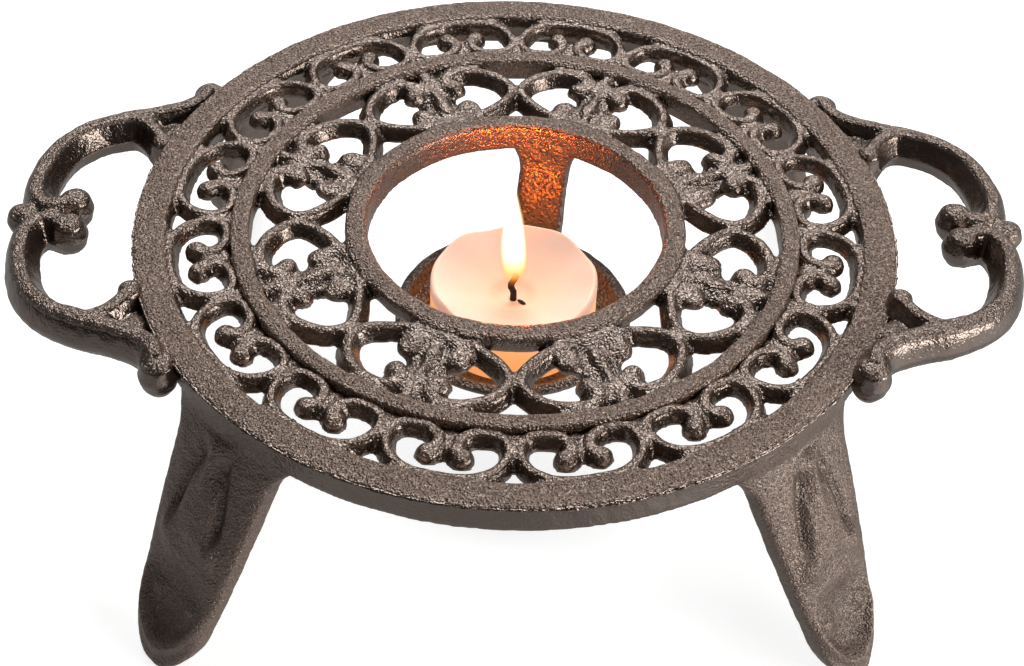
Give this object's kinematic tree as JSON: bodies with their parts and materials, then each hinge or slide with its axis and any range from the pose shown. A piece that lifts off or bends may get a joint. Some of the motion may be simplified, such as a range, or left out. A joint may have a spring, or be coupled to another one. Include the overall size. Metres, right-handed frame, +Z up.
{
  "type": "teapot warmer",
  "caption": "Round cast-iron teapot warmer: a pierced scroll grate with scroll side handles on splayed leaf legs, and a candle dish hung under its centre hole.",
  "frame": {"origin": "centre of the bounding box on the floor plane under the feet", "axes": "+X towards the right-hand handle, -Y towards the front, +Z up"},
  "size_m": [0.2208, 0.165, 0.06],
  "materials": {
    "iron": "sand-cast, brown-black, dull sheen",
    "wax": "smooth peach candle wax",
    "tinplate": "thin stamped tinplate",
    "wick": "charred braided cotton"
  },
  "bodies": {
    "stand": {"grate": "iron", "handle_right": "iron", "handle_left": "iron", "leg_rear_right": "iron", "leg_rear_left": "iron", "leg_front_left": "iron", "leg_front_right": "iron", "dish_hanger": "iron", "candle_dish": "iron"},
    "candle": {"candle_wax": "wax", "wick_tab": "tinplate", "candle_wick": "wick"}
  },
  "joints": [
    {"name": "candle_lift", "type": "slide", "parent": "stand", "child": "candle", "axis": [0, 0, 1], "range_m": [0, 0.05]}
  ]
}
